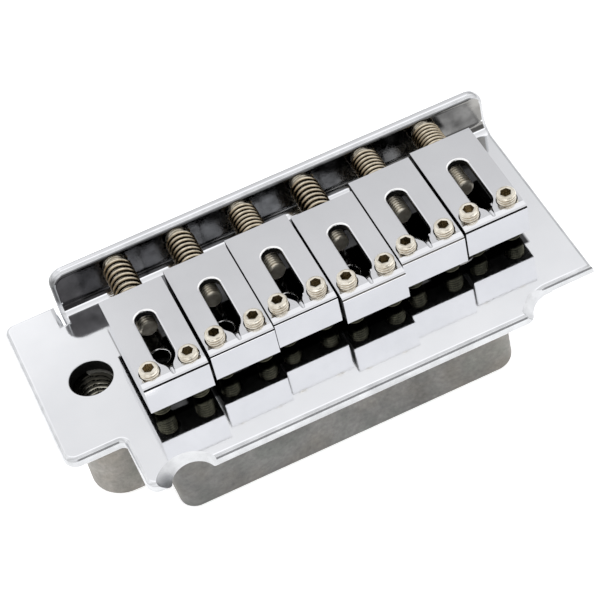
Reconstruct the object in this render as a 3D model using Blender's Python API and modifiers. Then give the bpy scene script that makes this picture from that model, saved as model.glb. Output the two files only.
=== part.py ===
"""A tremolo bridge for an electric guitar: chromed base plate with a bent-up lip, cast sustain block under it,
six saddles that slide on long intonation screws against coil springs and stand on two small height screws each.

Everything is laid out in millimetres: x across the strings (bass side +x), y from the knife edge toward the lip,
z up from the top of the base plate. place() turns millimetres into metres and moves the origin to the point of the
plate's top that lies on the centre line, ORIGIN_Y behind the front edge.
"""

import math

import bmesh
import bpy
from mathutils import Matrix, Vector

MM = 0.001
ORIGIN_Y = 5.0

# base plate
PLATE_T = 2.2
PLATE_EDGE = 0.25
X_LEFT = -36.6
X_RIGHT = 36.95
WING_X = -45.75
WING_Y0 = 10.3
WING_Y1 = 41.2
TIP_R = 2.0
TIP_Y = -0.2
NOTCH_C = (-29.8, -0.45)
NOTCH_R = 3.45
NOTCH_TOP_C = (-30.6, -1.7)
NOTCH_TOP_R = 5.1
HOOK_C = (29.3, -0.05)
HOOK_R = 3.75
HORN_R = 1.8
BLADE_Y = 3.7
BLADE_FACE = 1.4
ARM_C = (-36.83, 24.0)
ARM_R = 3.37

# bent-up lip
BEND_Y = 37.0
BEND_R = 1.9
LIP_TOP = 7.6
LIP_CORNER = 2.5
LIP_LEFT = -36.65
SLIT = 0.3
SCREW_Z = 5.0
LIP_HOLE_R = 1.85

# strings
PITCH = 10.5
STRING_X = [PITCH * (i - 2.5) for i in range(6)]
STRING_Y = 22.2
STRING_PLATE_R = 1.55

# sustain block
BLOCK_TOP = -2.5
BLOCK_BOTTOM = -22.2
BLOCK_Y0 = 10.5
BLOCK_Y1 = 29.3
BLOCK_X0 = -31.45
BLOCK_X1 = 28.9
LOBE_C = (-36.8, 23.9)
LOBE_R = 5.35
ARM_BORE_R = 3.0
ARM_BORE_END = -19.0
BALL_R = 2.0
BALL_TOP = -8.0
STRING_R = 1.2
SPRING_HOLE_R = 1.6
SPRING_HOLE_Y = 13.6
SPRING_HOLE_TOP = -14.2
SPRING_HOLE_X = [-21.0, -10.5, 0.0, 10.5, 21.0]

# screws that hold the block under the plate
BLOCK_SCREW_X = [-21.0, 0.0, 21.0]
BLOCK_SCREW_Y = 18.2
BLOCK_SCREW_R = 2.0
BLOCK_SCREW_HEAD_R = 3.6
BLOCK_SCREW_END = -12.2
FIT = 0.3

# saddles: centre x, front y, top z
SADDLES = [(-26.5, 9.4, 9.0), (-15.72, 10.6, 8.5), (-5.3, 11.4, 8.35), (5.22, 10.2, 8.45), (15.58, 11.7, 8.7), (26.3, 12.5, 8.5)]
SADDLE_W = 10.15
SADDLE_L = 19.5
SADDLE_H = 5.5
SADDLE_EDGE = 0.3
RIM = 1.2
TOP_WALL = 1.1
NOSE = 5.2
REAR_WALL = 1.8
WINDOW_W = 3.2
WINDOW_Y0 = 4.6
WINDOW_Y1 = 14.4
SPOUT_TIP = 0.9
SPOUT_FLOOR = 2.6
HEIGHT_DX = 3.08
HEIGHT_DY = 2.75
HEIGHT_HOLE_R = 1.65
REAR_HOLE_R = 2.0

# height screws (M3 grub screws)
GRUB_R = 1.5
GRUB_Z0 = 0.3
GRUB_Z1 = 10.0
HEX_R = 0.87
HEX_DEPTH = 2.0

# intonation screws (M3 x 20) and their springs
SCREW_R = 1.5
SCREW_TIP = 23.6
HEAD_Y0 = 39.95
HEAD_R = 2.05
HEAD_H = 1.05
SINK_R = 2.3
SINK_Y = 39.8
CROSS_ARM = 1.35
CROSS_W = 0.5
CROSS_DEPTH = 0.7
COIL_R = 2.02
WIRE_R = 0.32
COIL_TURNS = 8
COIL_STEPS = 8
COIL_BEVEL = 1
LIP_INNER = BEND_Y + BEND_R

for old in list(bpy.data.objects):
    bpy.data.objects.remove(old)

parts = bpy.data.collections.new("guitar_tremolo_bridge")
cutters = bpy.data.collections.new("cutters")
bpy.context.scene.collection.children.link(parts)
bpy.context.scene.collection.children.link(cutters)


def material(name, color, metallic, roughness):
    made = bpy.data.materials.new(name)
    made.use_nodes = True
    shader = made.node_tree.nodes["Principled BSDF"]
    shader.inputs["Base Color"].default_value = (*color, 1.0)
    shader.inputs["Metallic"].default_value = metallic
    shader.inputs["Roughness"].default_value = roughness
    return made


def place(bm, name, look=None, origin=(0.0, 0.0, 0.0), smooth=False):
    """The bmesh, in layout millimetres, as an object in metres whose own origin is at the given layout point."""
    origin = Vector(origin)
    bmesh.ops.recalc_face_normals(bm, faces=bm.faces)
    bmesh.ops.translate(bm, vec=-origin, verts=bm.verts)
    bmesh.ops.scale(bm, vec=(MM, MM, MM), verts=bm.verts)
    mesh = bpy.data.meshes.new(name)
    bm.to_mesh(mesh)
    bm.free()
    made = bpy.data.objects.new(name, mesh)
    made.location = (origin - Vector((0.0, ORIGIN_Y, 0.0))) * MM
    if look is None:
        made.hide_render = True
        made.display_type = "WIRE"
        cutters.objects.link(made)
    else:
        mesh.materials.append(look)
        if smooth:
            mesh.polygons.foreach_set("use_smooth", [True] * len(mesh.polygons))
            mesh.set_sharp_from_angle(angle=math.radians(35))
        parts.objects.link(made)
    return made


def boolean(target, cutter, operation="DIFFERENCE"):
    change = target.modifiers.new(cutter.name, "BOOLEAN")
    change.operation = operation
    change.solver = "EXACT"
    change.object = cutter


def arc(center, radius, start, end, steps):
    """Points on a circle from one angle to another, in degrees, both ends included."""
    found = []
    for i in range(steps + 1):
        angle = math.radians(start + (end - start) * i / steps)
        found.append((center[0] + radius * math.cos(angle), center[1] + radius * math.sin(angle)))
    return found


def circle(center, radius, steps, turn=0.0):
    return arc(center, radius, turn, turn + 360.0, steps)[:-1]


def plus(x, y, reach, half):
    """The outline of a cross recess."""
    found = []
    for q in range(4):
        c, s = math.cos(math.pi / 2 * q), math.sin(math.pi / 2 * q)
        found += [(x + a * c - b * s, y + a * s + b * c) for a, b in ((reach, -half), (reach, half), (half, half))]
    return found


def evaluated(made):
    """The object's evaluated mesh as a bmesh with its caps welded. The object goes, and so does its data."""
    bpy.context.scene.collection.objects.link(made)
    graph = bpy.context.evaluated_depsgraph_get()
    mesh = bpy.data.meshes.new_from_object(made.evaluated_get(graph))
    bm = bmesh.new()
    bm.from_mesh(mesh)
    bpy.data.objects.remove(made)
    bpy.data.meshes.remove(mesh)
    bmesh.ops.remove_doubles(bm, verts=bm.verts, dist=0.0005)
    return bm


def prism(outlines, z0, z1, edge=0.0, rounds=0):
    """A flat outline (the later ones are holes) from z0 to z1, its edges rounded inward by `edge`."""
    curve = bpy.data.curves.new("outline", "CURVE")
    curve.dimensions = "2D"
    curve.fill_mode = "BOTH"
    curve.extrude = (z1 - z0) / 2 - edge
    curve.bevel_depth = edge
    curve.bevel_resolution = rounds
    curve.offset = -edge
    for outline in outlines:
        spline = curve.splines.new("POLY")
        spline.points.add(len(outline) - 1)
        for point, (x, y) in zip(spline.points, outline):
            point.co = (x, y, 0.0, 1.0)
        spline.use_cyclic_u = True
    bm = evaluated(bpy.data.objects.new("outline", curve))
    if len(outlines) == 1:
        bmesh.ops.dissolve_limit(bm, angle_limit=0.001, verts=bm.verts, edges=bm.edges)
    bmesh.ops.translate(bm, vec=(0.0, 0.0, (z0 + z1) / 2), verts=bm.verts)
    return bm


def prism_y(outline, y0, y1):
    """An outline given as (x, z), from y0 to y1."""
    bm = prism([outline], -y1, -y0)
    bmesh.ops.rotate(bm, verts=bm.verts, matrix=Matrix.Rotation(math.radians(90), 3, "X"))
    return bm


def box(x0, x1, y0, y1, z0, z1):
    bm = bmesh.new()
    bmesh.ops.create_cube(bm, size=1.0)
    bmesh.ops.scale(bm, vec=(x1 - x0, y1 - y0, z1 - z0), verts=bm.verts)
    bmesh.ops.translate(bm, vec=((x0 + x1) / 2, (y0 + y1) / 2, (z0 + z1) / 2), verts=bm.verts)
    return bm


def cylinder(x, y, r, z0, z1, steps, top_r=None):
    bm = bmesh.new()
    top_r = r if top_r is None else top_r
    bmesh.ops.create_cone(bm, cap_ends=True, segments=steps, radius1=r, radius2=top_r, depth=z1 - z0)
    bmesh.ops.translate(bm, vec=(x, y, (z0 + z1) / 2), verts=bm.verts)
    return bm


def loft(lower, upper):
    """A solid between two rings of the same number of points."""
    bm = bmesh.new()
    low = [bm.verts.new(p) for p in lower]
    high = [bm.verts.new(p) for p in upper]
    bm.faces.new(low[::-1])
    bm.faces.new(high)
    for i in range(len(low)):
        j = (i + 1) % len(low)
        bm.faces.new((low[i], low[j], high[j], high[i]))
    return bm


def hull(points):
    bm = bmesh.new()
    for p in points:
        bm.verts.new(p)
    bmesh.ops.convex_hull(bm, input=bm.verts)
    return bm


def turned(profile, steps, center, axis="Z"):
    """A turned solid: (radius, height) points from the lower end to the upper one, swept by a Screw modifier."""
    points = list(profile)
    flat = []
    for end in (0, -1):
        if points[end][0] > 0.0:
            flat.append(points[end][1])
            points.insert(0 if end == 0 else len(points), (0.0, points[end][1]))
    points.reverse()
    bm = bmesh.new()
    verts = [bm.verts.new((r, 0.0, h)) for r, h in points]
    for one, two in zip(verts, verts[1:]):
        bm.edges.new((one, two))
    mesh = bpy.data.meshes.new("profile")
    bm.to_mesh(mesh)
    bm.free()
    made = bpy.data.objects.new("profile", mesh)
    sweep = made.modifiers.new("sweep", "SCREW")
    sweep.steps = steps
    sweep.render_steps = steps
    sweep.use_merge_vertices = True
    sweep.merge_threshold = 0.0001
    bm = evaluated(made)
    poles = [v for v in bm.verts if math.hypot(v.co.x, v.co.y) < 0.001 and any(abs(v.co.z - h) < 0.001 for h in flat)]
    bmesh.ops.dissolve_verts(bm, verts=poles)
    if axis == "Y":
        bmesh.ops.rotate(bm, verts=bm.verts, matrix=Matrix.Rotation(math.radians(-90), 3, "X"))
    bmesh.ops.translate(bm, vec=center, verts=bm.verts)
    return bm


def joined(pieces):
    """Separate closed bodies as one bmesh, for a cutter."""
    bm = bmesh.new()
    for piece in pieces:
        mesh = bpy.data.meshes.new("piece")
        piece.to_mesh(mesh)
        piece.free()
        bm.from_mesh(mesh)
        bpy.data.meshes.remove(mesh)
    return bm


# ---------------------------------------------------------------- base plate
chrome = material("chrome_plate", (0.80, 0.81, 0.83), 1.0, 0.12)

FLAT_BEND = (BEND_R + PLATE_T / 2) * math.pi / 2
FLAT_TOP = BEND_Y + FLAT_BEND + LIP_TOP - BEND_R
FLAT_HOLE = BEND_Y + FLAT_BEND + SCREW_Z - BEND_R

horn_x = HOOK_C[0] - math.sqrt((HOOK_R + HORN_R) ** 2 - (HORN_R - HOOK_C[1]) ** 2)
horn_end = math.degrees(math.atan2(HOOK_C[1] - HORN_R, HOOK_C[0] - horn_x))
notch_left = 180 - math.degrees(math.asin((TIP_Y - NOTCH_C[1]) / NOTCH_R))
notch_right = math.degrees(math.asin(-NOTCH_C[1] / NOTCH_R))

outline = arc((X_LEFT + TIP_R, TIP_Y + TIP_R), TIP_R, 180, 270, 6)
outline += arc(NOTCH_C, NOTCH_R, notch_left, notch_right, 14)
outline += arc((horn_x, HORN_R), HORN_R, -90, horn_end, 6)
outline += arc(HOOK_C, HOOK_R, 180 + horn_end, 90, 8)[1:]
outline += arc((X_RIGHT - 0.5, BLADE_Y + 0.5), 0.5, -90, 0, 3)
outline += arc((X_RIGHT - LIP_CORNER, FLAT_TOP - LIP_CORNER), LIP_CORNER, 0, 90, 6)
outline += arc((LIP_LEFT + LIP_CORNER, FLAT_TOP - LIP_CORNER), LIP_CORNER, 90, 180, 6)
outline += [(LIP_LEFT, BEND_Y - 0.3), (LIP_LEFT - SLIT, BEND_Y - 0.3), (LIP_LEFT - SLIT, WING_Y1)]
outline += arc((WING_X + 1.8, WING_Y1 - 1.8), 1.8, 90, 180, 5)
outline += arc((WING_X + 2.2, WING_Y0 + 2.2), 2.2, 180, 270, 5)
outline += arc((X_LEFT - 0.9, WING_Y0 - 0.9), 0.9, 90, 0, 4)

# Each hole is turned a little differently, so that no points of two holes lie on one line and the caps fill cleanly.
holes = [circle(ARM_C, ARM_R, 20, 3.0)]
holes += [circle((x, STRING_Y), STRING_PLATE_R, 12, 2.0 + 3.1 * i) for i, x in enumerate(STRING_X)]
holes += [circle((x, FLAT_HOLE), LIP_HOLE_R, 12, 1.5 + 2.9 * i) for i, x in enumerate(STRING_X)]

plate = prism([outline] + holes, -PLATE_T, 0.0, PLATE_EDGE)
for i in range(8):
    geometry = plate.verts[:] + plate.edges[:] + plate.faces[:]
    bmesh.ops.bisect_plane(plate, geom=geometry, dist=0.0005, plane_co=(0.0, BEND_Y + FLAT_BEND * i / 7, 0.0), plane_no=(0.0, 1.0, 0.0))
for vert in plate.verts:
    x, y, z = vert.co
    if y <= BEND_Y or x < LIP_LEFT - SLIT / 2:
        continue
    angle = min((y - BEND_Y) / FLAT_BEND, 1.0) * math.pi / 2
    straight = max(y - BEND_Y - FLAT_BEND, 0.0)
    r = BEND_R - z
    vert.co = (x, BEND_Y + r * math.sin(angle), BEND_R - r * math.cos(angle) + straight)
base_plate = place(plate, "base_plate", chrome)

# The left notch is bevelled by a leaning cone: NOTCH_R wide at the plate's underside, NOTCH_TOP_R at its top.
reach = 0.8
slope = (NOTCH_TOP_R - NOTCH_R) / PLATE_T
cone = cylinder(0.0, 0.0, NOTCH_R - slope * reach, -PLATE_T - reach, reach, 32, NOTCH_TOP_R + slope * reach)
lean = [(top - low) / PLATE_T for top, low in zip(NOTCH_TOP_C, NOTCH_C)]
for vert in cone.verts:
    rise = vert.co.z + PLATE_T
    vert.co.x += NOTCH_C[0] + lean[0] * rise
    vert.co.y += NOTCH_C[1] + lean[1] * rise
boolean(base_plate, place(cone, "cut_notch_bevel"))

grow = 0.35
hook_low = [(34.0, BLADE_Y - 0.02), (29.3, BLADE_Y - 0.02)] + arc(HOOK_C, HOOK_R, 105, 165, 4) + [(25.3, 0.3), (23.9, -0.5), (23.5, -3.0), (34.0, -3.0)]
hook_top = [(34.0, BLADE_Y - 0.02), (29.3, BLADE_Y - 0.02), (28.4, 3.75), (27.4, 4.05), (26.6, 4.0), (25.7, 3.4), (24.9, 2.5), (23.9, 1.3), (23.6, -0.5), (23.2, -3.0), (34.0, -3.0)]
lower = [(x, y, -PLATE_T) for x, y in hook_low]
upper = [(x, y, 0.0) for x, y in hook_top]
below = [tuple(a + (a - b) * grow for a, b in zip(p, q)) for p, q in zip(lower, upper)]
above = [tuple(b + (b - a) * grow for a, b in zip(p, q)) for p, q in zip(lower, upper)]
boolean(base_plate, place(loft(below, above), "cut_hook_bevel"))

blade = hull([(x, y, z) for x in (29.9, 38.0) for y, z in ((BLADE_Y - 1.0, -BLADE_FACE), (BLADE_Y, -BLADE_FACE), (BLADE_Y + 1.6, -3.0), (BLADE_Y - 1.0, -3.0))])
boolean(base_plate, place(blade, "cut_blade_undercut"))

sinks = []
for x in BLOCK_SCREW_X:
    r = BLOCK_SCREW_HEAD_R + FIT
    shank = BLOCK_SCREW_R + FIT
    sinks.append(turned([(shank, -3.0), (shank, -0.2 - (r - shank)), (r, -0.2), (r, 1.0)], 20, (x, BLOCK_SCREW_Y, 0.0)))
boolean(base_plate, place(joined(sinks), "cut_countersinks"))

sinks = [cylinder(x, -SCREW_Z, SINK_R, SINK_Y, SINK_Y + 3.0, 16) for x in STRING_X]
for sink in sinks:
    bmesh.ops.rotate(sink, verts=sink.verts, matrix=Matrix.Rotation(math.radians(-90), 3, "X"))
boolean(base_plate, place(joined(sinks), "cut_lip_counterbores"))

# ---------------------------------------------------------------- sustain block
cast = material("cast_block", (0.36, 0.35, 0.33), 0.9, 0.45)

corner = (22.10, BLOCK_Y0 + 3.6)
outline = arc((BLOCK_X0 + 2.7, BLOCK_Y0 + 2.7), 2.7, 180, 270, 6)
outline += arc(corner, 3.6, -90, -18.7, 6)
outline += [(BLOCK_X1, 23.0)]
outline += arc((BLOCK_X1 - 3.0, BLOCK_Y1 - 3.0), 3.0, 0, 90, 6)
outline += arc((LOBE_C[0], BLOCK_Y1 - LOBE_R), LOBE_R, 90, 270, 18)
outline += arc((BLOCK_X0 - 1.5, LOBE_C[1] - LOBE_R - 1.5), 1.5, 90, 0, 4)
block = place(prism([outline], BLOCK_BOTTOM, BLOCK_TOP, 0.4), "tremolo_block", cast)

bores = [cylinder(*ARM_C, ARM_BORE_R, ARM_BORE_END, 0.0, 20)]
for x in STRING_X:
    bores.append(turned([(BALL_R, -24.0), (BALL_R, BALL_TOP), (STRING_R, BALL_TOP + 0.8), (STRING_R, 0.0)], 12, (x, STRING_Y, 0.0)))
for x in SPRING_HOLE_X:
    bores.append(turned([(SPRING_HOLE_R, -24.0), (SPRING_HOLE_R, SPRING_HOLE_TOP), (0.0, SPRING_HOLE_TOP + 0.9)], 12, (x, SPRING_HOLE_Y, 0.0)))
boolean(block, place(joined(bores), "cut_block_bores"))
bores = []
for x in BLOCK_SCREW_X:
    r = BLOCK_SCREW_R + FIT
    bores.append(turned([(0.0, BLOCK_SCREW_END - 1.3), (r, BLOCK_SCREW_END - FIT), (r, 0.0)], 12, (x, BLOCK_SCREW_Y, 0.0)))
boolean(block, place(joined(bores), "cut_block_screw_holes"))

# ---------------------------------------------------------------- block screws
steel = material("screw_steel", (0.55, 0.55, 0.55), 1.0, 0.3)
for n, x in enumerate(BLOCK_SCREW_X, 1):
    r = BLOCK_SCREW_HEAD_R
    shank = BLOCK_SCREW_R
    profile = [(0.0, BLOCK_SCREW_END - 0.9), (shank - 0.5, BLOCK_SCREW_END - 0.3), (shank, BLOCK_SCREW_END + 0.3)]
    profile += [(shank, -0.35 - (r - shank)), (r, -0.35), (r, -0.1)]
    screw = place(turned(profile, 20, (x, BLOCK_SCREW_Y, 0.0)), f"block_screw_{n}", steel, smooth=True)
    low = [(a, b, -1.7) for a, b in plus(x, BLOCK_SCREW_Y, 1.1, 0.25)]
    high = [(a, b, 0.5) for a, b in plus(x, BLOCK_SCREW_Y, 2.2, 0.45)]
    boolean(screw, place(loft(low, high), f"cut_block_screw_{n}"))

# ---------------------------------------------------------------- saddles and what they ride on
saddle_look = material("saddle_chrome", (0.78, 0.79, 0.82), 1.0, 0.16)
nickel = material("nickel_screws", (0.62, 0.57, 0.47), 1.0, 0.3)
spring_look = material("spring_wire", (0.58, 0.54, 0.44), 1.0, 0.3)

for n, (cx, yf, top) in enumerate(SADDLES, 1):
    w = SADDLE_W / 2
    bottom = top - SADDLE_H
    x_screw = STRING_X[n - 1]
    dx = x_screw - cx

    # the saddle, its origin on the line it tilts about
    plan = []
    for px, py, a in ((w, 0.0, -90), (w, SADDLE_L, 0), (-w, SADDLE_L, 90), (-w, 0.0, 180)):
        mx = cx + math.copysign(w - 0.5, px)
        my = yf + (0.5 if py == 0.0 else SADDLE_L - 0.5)
        plan += arc((mx, my), 0.5, a, a + 90, 3)
    body = place(prism([plan], bottom, top, SADDLE_EDGE), f"saddle_{n}", saddle_look, (x_screw, LIP_INNER + 1.1, SCREW_Z))

    inner = w - RIM
    cavity = box(cx - inner, cx + inner, yf + NOSE, yf + SADDLE_L - REAR_WALL, bottom - 2.0, top - TOP_WALL)
    boolean(body, place(cavity, f"cut_cavity_{n}"))
    half = WINDOW_W / 2
    window = [(cx - half, yf + WINDOW_Y0), (cx + half, yf + WINDOW_Y0)] + arc((cx, yf + WINDOW_Y1 - half), half, 0, 180, 8)
    boolean(body, place(prism([window], top - TOP_WALL - 1.0, top + 1.0), f"cut_window_{n}"))
    wedge = []
    for z in (top, top + 1.0):
        wedge += [(cx, yf + SPOUT_TIP, z), (cx - half, yf + WINDOW_Y0 + 0.1, z), (cx + half, yf + WINDOW_Y0 + 0.1, z), (cx - half, yf + NOSE + 0.8, z), (cx + half, yf + NOSE + 0.8, z)]
    wedge += [(cx - half * 0.7, yf + NOSE + 0.8, bottom + SPOUT_FLOOR), (cx + half * 0.7, yf + NOSE + 0.8, bottom + SPOUT_FLOOR)]
    boolean(body, place(hull(wedge), f"cut_spout_{n}"))
    drills = [cylinder(cx + s * HEIGHT_DX, yf + HEIGHT_DY, HEIGHT_HOLE_R, bottom - 1.0, top + 1.0, 16) for s in (-1, 1)]
    boolean(body, place(joined(drills), f"cut_drills_{n}"))
    arch = [(x_screw - REAR_HOLE_R, bottom - 1.0), (x_screw + REAR_HOLE_R, bottom - 1.0)] + arc((x_screw, SCREW_Z), REAR_HOLE_R, 0, 180, 8)
    boolean(body, place(prism_y(arch, yf + SADDLE_L - REAR_WALL - 1.0, yf + SADDLE_L + 1.0), f"cut_rear_slot_{n}"))

    # two height screws with a hexagon socket
    for letter, s in (("a", -1), ("b", 1)):
        gx, gy = cx + s * HEIGHT_DX, yf + HEIGHT_DY
        profile = [(GRUB_R - 0.7, GRUB_Z0), (GRUB_R, GRUB_Z0 + 0.7), (GRUB_R, GRUB_Z1 - 0.3), (GRUB_R - 0.3, GRUB_Z1)]
        grub = place(turned(profile, 16, (gx, gy, 0.0)), f"height_screw_{n}{letter}", nickel, (gx, gy, GRUB_Z0), smooth=True)
        boolean(grub, place(cylinder(gx, gy, HEX_R, GRUB_Z1 - HEX_DEPTH, GRUB_Z1 + 1.0, 6), f"cut_socket_{n}{letter}"))

    # the intonation screw through the lip, with a cross recess
    profile = [(SCREW_R - 0.35, SCREW_TIP), (SCREW_R, SCREW_TIP + 0.35), (SCREW_R, HEAD_Y0), (HEAD_R, HEAD_Y0)]
    profile += [(HEAD_R, HEAD_Y0 + HEAD_H - 0.25), (HEAD_R - 0.25, HEAD_Y0 + HEAD_H)]
    screw = place(turned(profile, 16, (x_screw, 0.0, SCREW_Z), "Y"), f"intonation_screw_{n}", nickel, (x_screw, HEAD_Y0, SCREW_Z), smooth=True)
    low = [(a, HEAD_Y0 + HEAD_H - CROSS_DEPTH, b) for a, b in plus(x_screw, SCREW_Z, CROSS_ARM * 0.7, CROSS_W * 0.35)]
    high = [(a, HEAD_Y0 + HEAD_H + 0.6, b) for a, b in plus(x_screw, SCREW_Z, CROSS_ARM * 1.2, CROSS_W * 0.6)]
    boolean(screw, place(loft(low, high), f"cut_cross_{n}"))

    # the coil spring between the saddle's back and the lip
    y0 = yf + SADDLE_L + FIT + WIRE_R
    y1 = LIP_INNER - FIT - WIRE_R
    count = COIL_TURNS * COIL_STEPS
    wire = bpy.data.curves.new(f"intonation_spring_{n}", "CURVE")
    wire.dimensions = "3D"
    wire.bevel_depth = WIRE_R * MM
    wire.bevel_resolution = COIL_BEVEL
    wire.use_fill_caps = True
    spline = wire.splines.new("POLY")
    spline.points.add(count)
    for i, point in enumerate(spline.points):
        a = 2 * math.pi * i / COIL_STEPS
        point.co = (COIL_R * math.cos(a) * MM, (y0 - LIP_INNER + (y1 - y0) * i / count) * MM, COIL_R * math.sin(a) * MM, 1.0)
    wire.materials.append(spring_look)
    coil = bpy.data.objects.new(f"intonation_spring_{n}", wire)
    coil.location = (x_screw * MM, (LIP_INNER - ORIGIN_Y) * MM, SCREW_Z * MM)
    parts.objects.link(coil)
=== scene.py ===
import math

import bmesh
import bpy
from mathutils import Matrix, Vector


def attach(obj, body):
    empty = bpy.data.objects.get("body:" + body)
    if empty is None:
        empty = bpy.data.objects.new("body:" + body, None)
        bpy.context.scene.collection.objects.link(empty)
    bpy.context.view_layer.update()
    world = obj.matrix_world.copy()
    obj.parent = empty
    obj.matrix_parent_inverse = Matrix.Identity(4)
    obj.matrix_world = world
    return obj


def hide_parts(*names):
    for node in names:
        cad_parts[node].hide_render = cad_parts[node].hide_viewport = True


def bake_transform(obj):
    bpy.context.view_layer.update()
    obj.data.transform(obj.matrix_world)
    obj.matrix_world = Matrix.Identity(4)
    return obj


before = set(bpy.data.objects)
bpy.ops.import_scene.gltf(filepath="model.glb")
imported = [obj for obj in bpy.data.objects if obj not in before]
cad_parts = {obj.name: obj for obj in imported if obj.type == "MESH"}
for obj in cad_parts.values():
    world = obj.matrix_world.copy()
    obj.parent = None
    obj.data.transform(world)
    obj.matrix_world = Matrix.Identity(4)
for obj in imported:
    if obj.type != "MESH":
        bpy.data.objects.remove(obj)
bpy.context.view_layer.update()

# Everything is laid out in millimetres as in the CAD: x across the strings, y from the knife edge toward the lip,
# z up from the top of the base plate. placed() shifts y by ORIGIN_Y and turns millimetres into metres.
MM = 0.001
ORIGIN_Y = 5.0

PLATE_T = 2.2
PLATE_EDGE = 0.9
HOLE_EDGE = 0.22
X_LEFT = -36.6
X_RIGHT = 36.95
WING_X = -45.75
WING_Y0 = 10.3
WING_Y1 = 41.2
TIP_R = 2.0
TIP_Y = -0.2
NOTCH_C = (-29.8, -0.45)
NOTCH_R = 3.45
NOTCH_TOP_C = (-30.6, -1.7)
NOTCH_TOP_R = 5.1
HOOK_C = (29.3, -0.05)
HOOK_R = 3.75
HORN_R = 1.8
BLADE_Y = 3.7
BLADE_FACE = 1.4
ARM_C = (-36.83, 24.0)
ARM_R = 3.37

BEND_Y = 37.0
BEND_R = 1.9
LIP_TOP = 7.6
LIP_CORNER = 2.5
LIP_LEFT = -36.65
SLIT = 0.3
SCREW_Z = 5.0
LIP_HOLE_R = 1.85
LIP_INNER = BEND_Y + BEND_R

PITCH = 10.5
STRING_X = [PITCH * (i - 2.5) for i in range(6)]
STRING_Y = 22.2
STRING_PLATE_R = 1.55

BLOCK_TOP = -2.5
BLOCK_BOTTOM = -22.2
BLOCK_Y0 = 10.5
BLOCK_Y1 = 29.3
BLOCK_X0 = -31.45
BLOCK_X1 = 28.9
BLOCK_EDGE = 0.7
LOBE_C = (-36.8, 23.9)
LOBE_R = 5.35
ARM_THREAD_R = 3.25
ARM_THREAD_DEPTH = 0.5
ARM_THREAD_PITCH = 1.0
ARM_BORE_END = -19.0
BALL_R = 2.0
BALL_TOP = -8.0
STRING_R = 1.2
SPRING_HOLE_R = 1.6
SPRING_HOLE_Y = 13.6
SPRING_HOLE_TOP = -14.2
SPRING_HOLE_X = [-21.0, -10.5, 0.0, 10.5, 21.0]

BLOCK_SCREW_X = [-21.0, 0.0, 21.0]
BLOCK_SCREW_Y = 18.2
BLOCK_SCREW_R = 2.0
BLOCK_SCREW_HEAD_R = 3.6
BLOCK_SCREW_END = -12.2
FIT = 0.3

SADDLES = [(-26.5, 9.4, 9.0), (-15.72, 10.6, 8.5), (-5.3, 11.4, 8.35), (5.22, 10.2, 8.45), (15.58, 11.7, 8.7), (26.3, 12.5, 8.5)]
SADDLE_W = 10.15
SADDLE_L = 19.5
SADDLE_H = 5.5
SADDLE_EDGE = 0.13
SADDLE_FRONT_R = 0.55
WINDOW_EDGE = 0.28
RIM = 1.2
TOP_WALL = 1.1
NOSE = 5.2
REAR_WALL = 1.8
WINDOW_W = 3.2
WINDOW_Y0 = 4.6
WINDOW_Y1 = 14.4
SPOUT = [(0.62, 0.06, 0.14), (0.70, 0.19, 0.24), (0.85, 0.27, 0.31), (1.1, 0.32, 0.36), (1.5, 0.36, 0.41), (2.0, 0.42, 0.48), (2.4, 0.53, 0.58), (2.75, 0.72, 0.74), (3.1, 0.98, 0.97), (3.5, 1.27, 1.33), (3.9, 1.46, 1.82), (4.3, 1.57, 2.45), (4.7, 1.61, 3.1), (5.4, 1.62, 3.6)]
HEIGHT_DX = 3.08
HEIGHT_DY = 2.75
HEIGHT_HOLE_R = 1.65
REAR_HOLE_R = 2.0
BROW = 1.2
BROW_DROP = 0.2

GRUB_R = 1.5
GRUB_Z0 = 0.3
GRUB_Z1 = 10.0
HEX_R = 0.87
HEX_DEPTH = 2.0
THREAD_PITCH = 0.5
THREAD_DEPTH = 0.26

SCREW_R = 1.5
SCREW_TIP = 23.6
HEAD_Y0 = 39.95
HEAD_R = 2.05
HEAD_H = 1.05
SINK_R = 2.3
SINK_Y = 39.8
CROSS_ARM = 1.35
CROSS_W = 0.5
CROSS_DEPTH = 0.7
COIL_R = 2.02
WIRE_R = 0.32
COIL_TURNS = 8

scene = bpy.context.scene
extra = bpy.data.collections.new("detail")
scene.collection.children.link(extra)


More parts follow.
